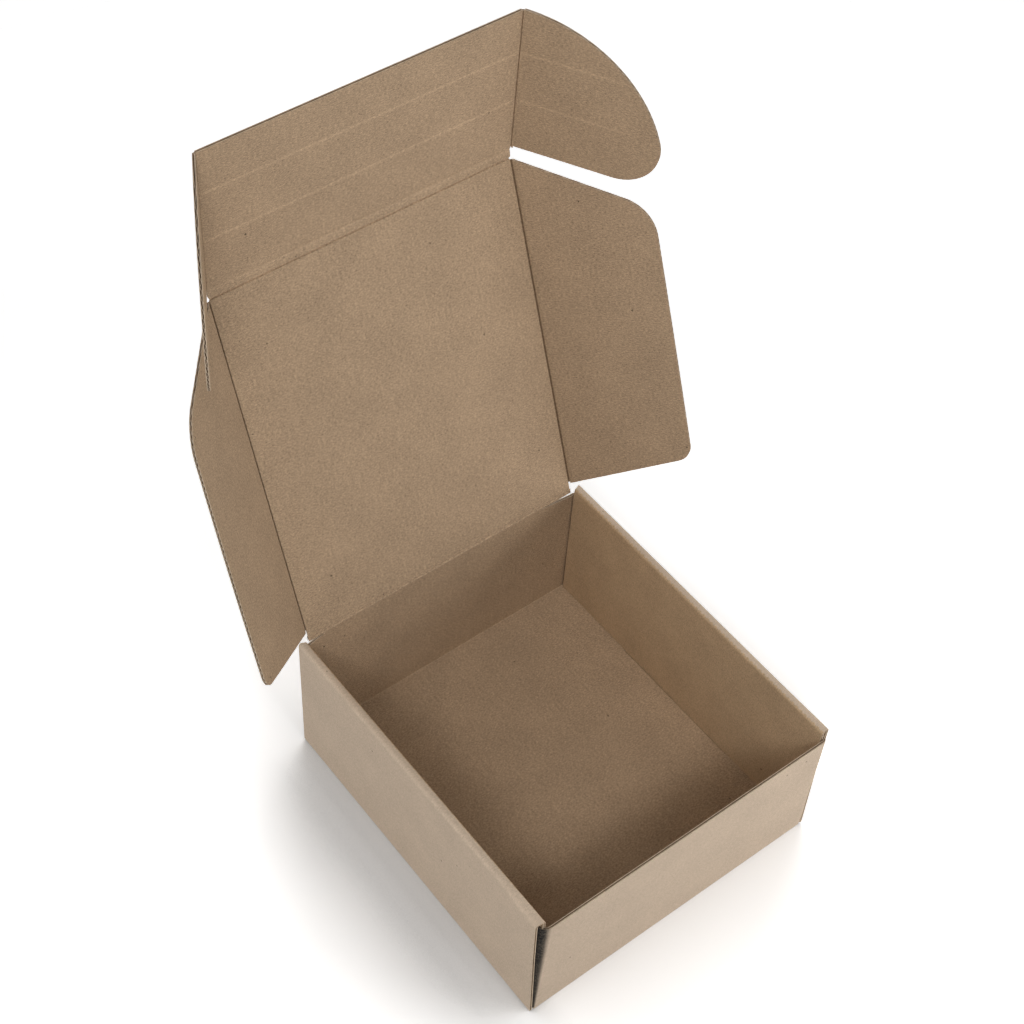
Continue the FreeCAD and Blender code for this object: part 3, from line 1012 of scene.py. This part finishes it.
def side_wall(side):
    way = SIDE[side]
    line = [(OUTER_PANEL_START, HALF), (OUTER_PANEL_X, HALF), (OUTER_PANEL_X, TOP_LEVEL),
            (INNER_PANEL_X, TOP_LEVEL), (INNER_PANEL_X, PANEL_FOOT)]
    place, left, length, crush = fold_line(line, [ROLL_BEND] * 3)
    stations = np.array(wave_rows(FRONT_EDGE, BACK_EDGE, per_wave=TRAY_ROWS_PER_WAVE))
    crossing = OUTER_PANEL_X - INNER_PANEL_X - 0.8 * MM
    inner = smooth_step((OUTER_PANEL_X - 0.4 * MM - place[:, 0]) / crossing)
    inner = np.where(place[:, 1] > BOARD, inner, 0)

    def spot(column, row):
        y = stations[row]
        short = INNER_HALF_LENGTH * (2 * (y - FRONT_EDGE) / (BACK_EDGE - FRONT_EDGE) - 1)
        y_now = y + (short - y) * inner[column]
        x, z = place[column, 0].copy(), place[column, 1].copy()
        tongue = (column == len(place) - 1) & (np.abs(y) < TONGUE_HALF_LENGTH)
        z[tongue] = TONGUE_FOOT
        bow = np.sin(math.pi * np.clip(z / TOP_LEVEL, 0, 1)) * np.cos(math.pi * y / OUTER_DEPTH)
        x -= WALL_BOW * bow * inner[column]
        loose = smooth_step((-y - FLARE_FROM) / FLARE_OVER) * np.clip(z / TOP_LEVEL, 0, 1)
        x += FLARE[side] * loose * (1 - inner[column])
        outer = place[column, 0] > OUTER_PANEL_X - 0.3 * MM
        y_now -= FOOT_REACH * outer * np.clip(1 - z / FOOT_HEIGHT, 0, 1) * (row == 0)
        middle = np.stack([way * x, y_now, z], 1)
        inward = np.stack([way * left[column, 0], np.zeros(len(x)), left[column, 1]], 1)
        flat = np.stack([length[column], y], 1)
        return middle, inward, flat, 2 * math.pi * y / PITCH, crush[column], np.zeros(len(x))

    wall = board_piece("side_wall_board_" + side, len(place) - 1, len(stations) - 1, spot,
                       "tray", "tray")
    # The outer liner's face inside the box gets its browner copy, with painted shade.
    paint_shade_on_rolled_face(wall)


for side in SIDE:
    side_wall(side)

# %% [markdown]
# ## The floor
#
# The box stands on a white sweep. The floor takes the box's shadow. Only what the camera sees of it
# is lifted, so that it reads as paper white while the light that it throws back stays plain. A
# shadow is also painted into its colour near the box, by ambient occlusion, about twice as deep on
# the left as elsewhere. Half a metre away it fades into the white room, because the lamps don't
# reach further.

# %% The floor, and what the camera sees of it
FLOOR_SIZE = 24
FLOOR_SEEN = 1.7
SHADE_REACH, SHADE_SAMPLES = 0.09, 16
SHADE_SIDES = (("From Min", -0.125), ("From Max", -0.085), ("To Min", 1.7), ("To Max", 0.8))
SHADE_DARKEST = 0.38
FADE_FROM, FADE_TO = 0.5, 0.95

deselect()
bpy.ops.mesh.primitive_plane_add(size=FLOOR_SIZE)
floor = bpy.context.object
floor.name = "floor"


def seen_directly(tree):
    ray = tree.nodes.new("ShaderNodeLightPath")
    glossy = math_node(tree, "MAXIMUM", ray.outputs["Is Camera Ray"], ray.outputs["Is Glossy Ray"])
    return math_node(tree, "MAXIMUM", glossy, ray.outputs["Is Transmission Ray"])


sweep = bpy.data.materials.new("white_sweep")
sweep.use_nodes = True
tree = sweep.node_tree
plain = tree.nodes["Principled BSDF"]
plain.inputs["Base Color"].default_value = (0.8, 0.8, 0.8, 1)
plain.inputs["Roughness"].default_value = 0.9
plain.inputs["Specular IOR Level"].default_value = 0.1
seen = tree.nodes.new("ShaderNodeBsdfDiffuse")
painted_shadow_ao = tree.nodes.new("ShaderNodeAmbientOcclusion")
painted_shadow_ao.samples = SHADE_SAMPLES
painted_shadow_ao.inputs["Distance"].default_value = SHADE_REACH
coords = tree.nodes.new("ShaderNodeTexCoord")
axes = tree.nodes.new("ShaderNodeSeparateXYZ")
painted_shadow_left_share = tree.nodes.new("ShaderNodeMapRange")
for socket, value in SHADE_SIDES:
    painted_shadow_left_share.inputs[socket].default_value = value
# Painted shadow: ambient occlusion darkens the floor's colour near the box, more on the left.
hidden = math_node(tree, "SUBTRACT", 1.0, painted_shadow_ao.outputs["AO"])
painted_shadow_depth = math_node(tree, "MULTIPLY", hidden, painted_shadow_left_share.outputs["Result"])
shade = math_node(tree, "MAXIMUM", math_node(tree, "SUBTRACT", 1.0, painted_shadow_depth), SHADE_DARKEST)
level = math_node(tree, "MULTIPLY", shade, FLOOR_SEEN)
link_all(tree, [
    (coords.outputs["Object"], axes.inputs["Vector"]),
    (axes.outputs["X"], painted_shadow_left_share.inputs["Value"]),
    (level, seen.inputs["Color"]),
])
either = tree.nodes.new("ShaderNodeMixShader")
radius = tree.nodes.new("ShaderNodeVectorMath")
radius.operation = "LENGTH"
far = tree.nodes.new("ShaderNodeMapRange")
far.interpolation_type = "SMOOTHSTEP"
far.inputs["From Min"].default_value = FADE_FROM
far.inputs["From Max"].default_value = FADE_TO
clear = tree.nodes.new("ShaderNodeBsdfTransparent")
faded = tree.nodes.new("ShaderNodeMixShader")
link_all(tree, [
    (coords.outputs["Object"], radius.inputs[0]),
    (radius.outputs["Value"], far.inputs["Value"]),
    (far.outputs["Result"], faded.inputs["Fac"]),
    (seen.outputs["BSDF"], faded.inputs[1]),
    (clear.outputs["BSDF"], faded.inputs[2]),
    (seen_directly(tree), either.inputs["Fac"]),
    (plain.outputs["BSDF"], either.inputs[1]),
    (faded.outputs["Shader"], either.inputs[2]),
    (either.outputs["Shader"], tree.nodes["Material Output"].inputs["Surface"]),
])
floor.data.materials.append(sweep)
print("floor:", len(sweep.node_tree.nodes), "nodes in", sweep.name)

# %% The white room
ROOM_LIGHT = 0.02
world = bpy.data.worlds.new("studio")
bpy.context.scene.world = world
world.use_nodes = True
tree = world.node_tree
room = tree.nodes["Background"]
room.inputs["Color"].default_value = (1, 1, 1, 1)
room.inputs["Strength"].default_value = ROOM_LIGHT
white = tree.nodes.new("ShaderNodeBackground")
white.inputs["Color"].default_value = (1, 1, 1, 1)
white.inputs["Strength"].default_value = 1
either = tree.nodes.new("ShaderNodeMixShader")
link_all(tree, [
    (seen_directly(tree), either.inputs["Fac"]),
    (room.outputs["Background"], either.inputs[1]),
    (white.outputs["Background"], either.inputs[2]),
    (either.outputs["Shader"], tree.nodes["World Output"].inputs["Surface"]),
])
print("world:", world.name)

# %% [markdown]
# ## The lamps
#
# Soft boxes stand round the table, as in a product studio. Each one was tried alone, and their
# strengths were then chosen so that every panel gets the share of light that the photograph shows.
# The low ones graze the box, and bring out the washboard of the flutes.

# %% Place the lamps
LAMP_AIM = Vector((0, 0, 0.1))
# Each lamp's azimuth and elevation in degrees, distance and size in metres, and power in watts.
LAMPS = {
    "back_right": (135, 35, 2.2, 1.3, 16.2),
    "back_left": (-135, 35, 2.2, 1.3, 4.4),
    "overhead": (-60, 60, 2.2, 1.3, 7.2),
    "left": (-90, 30, 2.2, 1.3, 3.8),
    "key": (-45, 45, 2.2, 0.45, 10.6),
    "front": (0, 50, 2.2, 0.45, 8.6),
    "low_left": (-90, 5, 0.9, 0.5, 1.3),
    "low_front_right": (40, 6, 0.9, 0.5, 4.0),
}


def lamp(name, azimuth, elevation, distance, size, power):
    a, e = math.radians(azimuth), math.radians(elevation)
    way = Vector((math.sin(a) * math.cos(e), -math.cos(a) * math.cos(e), math.sin(e)))
    data = bpy.data.lights.new(name, "AREA")
    data.energy = power
    data.size = size
    shown = bpy.data.objects.new(name, data)
    bpy.context.collection.objects.link(shown)
    shown.location = LAMP_AIM + way * distance
    shown.rotation_euler = way.to_track_quat("Z", "Y").to_euler()


for name, values in LAMPS.items():
    lamp(name, *values)
print("lamps:", ", ".join(LAMPS))

# %% [markdown]
# ## The camera
#
# The photograph was taken from the front left, looking down by a little over fifty degrees. The
# camera's angle, distance and focal length were fitted to the corners of the box in it. The small
# shift puts the box where the photograph has it in its frame.

# %% Place the camera
FRAME_PIXELS = 1024
SENSOR = 36.0
focal_pixels, centre_x, centre_y = 1874.606, 464.356, 595.53
view_azimuth, view_elevation, view_roll = -39.477, 52.653, 3.088
aim_right, aim_up, distance = -56.782 * MM, 70.968 * MM, 1075.104 * MM
AIM_HEIGHT = 60 * MM


def camera_axes():
    a, e, r = (math.radians(v) for v in (view_azimuth, view_elevation, view_roll))
    back = Vector((math.sin(a) * math.cos(e), -math.cos(a) * math.cos(e), math.sin(e)))
    right = Vector((math.cos(a), math.sin(a), 0))
    up = back.cross(right)
    aim = Vector((0, 0, AIM_HEIGHT)) + right * aim_right + up * aim_up
    rolled_right = right * math.cos(r) + up * math.sin(r)
    rolled_up = up * math.cos(r) - right * math.sin(r)
    return aim + back * distance, rolled_right, rolled_up, back


eye, right, up, back = camera_axes()
lens = bpy.data.cameras.new("camera")
camera = bpy.data.objects.new("camera", lens)
bpy.context.collection.objects.link(camera)
camera.matrix_world = Matrix((
    (right.x, up.x, back.x, eye.x),
    (right.y, up.y, back.y, eye.y),
    (right.z, up.z, back.z, eye.z),
    (0, 0, 0, 1),
))
lens.sensor_width = SENSOR
lens.lens = focal_pixels / FRAME_PIXELS * SENSOR
lens.shift_x = (FRAME_PIXELS / 2 - centre_x) / FRAME_PIXELS
lens.shift_y = (centre_y - FRAME_PIXELS / 2) / FRAME_PIXELS
bpy.context.scene.camera = camera
bpy.context.scene.view_settings.view_transform = "Standard"
print("camera at", [round(v, 3) for v in eye], "lens", round(lens.lens, 1), "mm")
